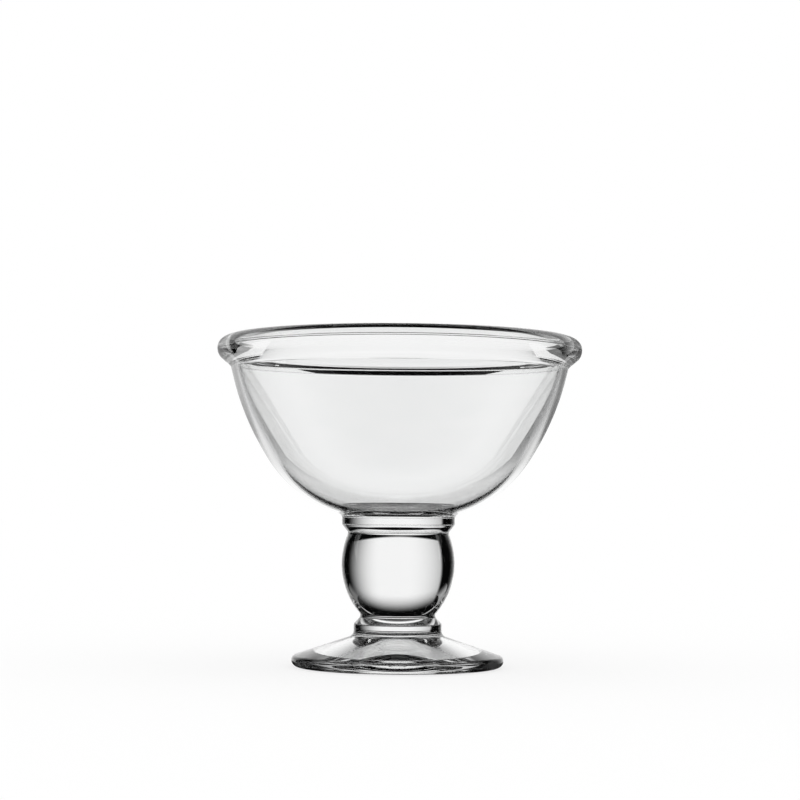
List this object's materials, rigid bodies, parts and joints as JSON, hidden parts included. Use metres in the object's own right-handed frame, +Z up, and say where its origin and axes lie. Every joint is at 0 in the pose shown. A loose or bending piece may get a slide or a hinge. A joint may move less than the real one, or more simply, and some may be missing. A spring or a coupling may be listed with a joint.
{
  "type": "ice cream glass",
  "caption": "Footed dessert glass in clear glass: deep round bowl with a rolled rim, on a solid ball stem with turned collars and a cone-topped round foot.",
  "frame": {"origin": "on the table, at the centre of the foot", "axes": "+Z up along the glass's axis, X and Y level"},
  "size_m": [0.12, 0.12, 0.1078],
  "materials": {
    "clear_glass": "fire polished, colourless and clear"
  },
  "bodies": {
    "root": {"foot": "clear_glass", "lower_collar": "clear_glass", "ball_knop": "clear_glass", "upper_collar": "clear_glass", "bowl": "clear_glass", "rolled_rim": "clear_glass"}
  },
  "joints": []
}
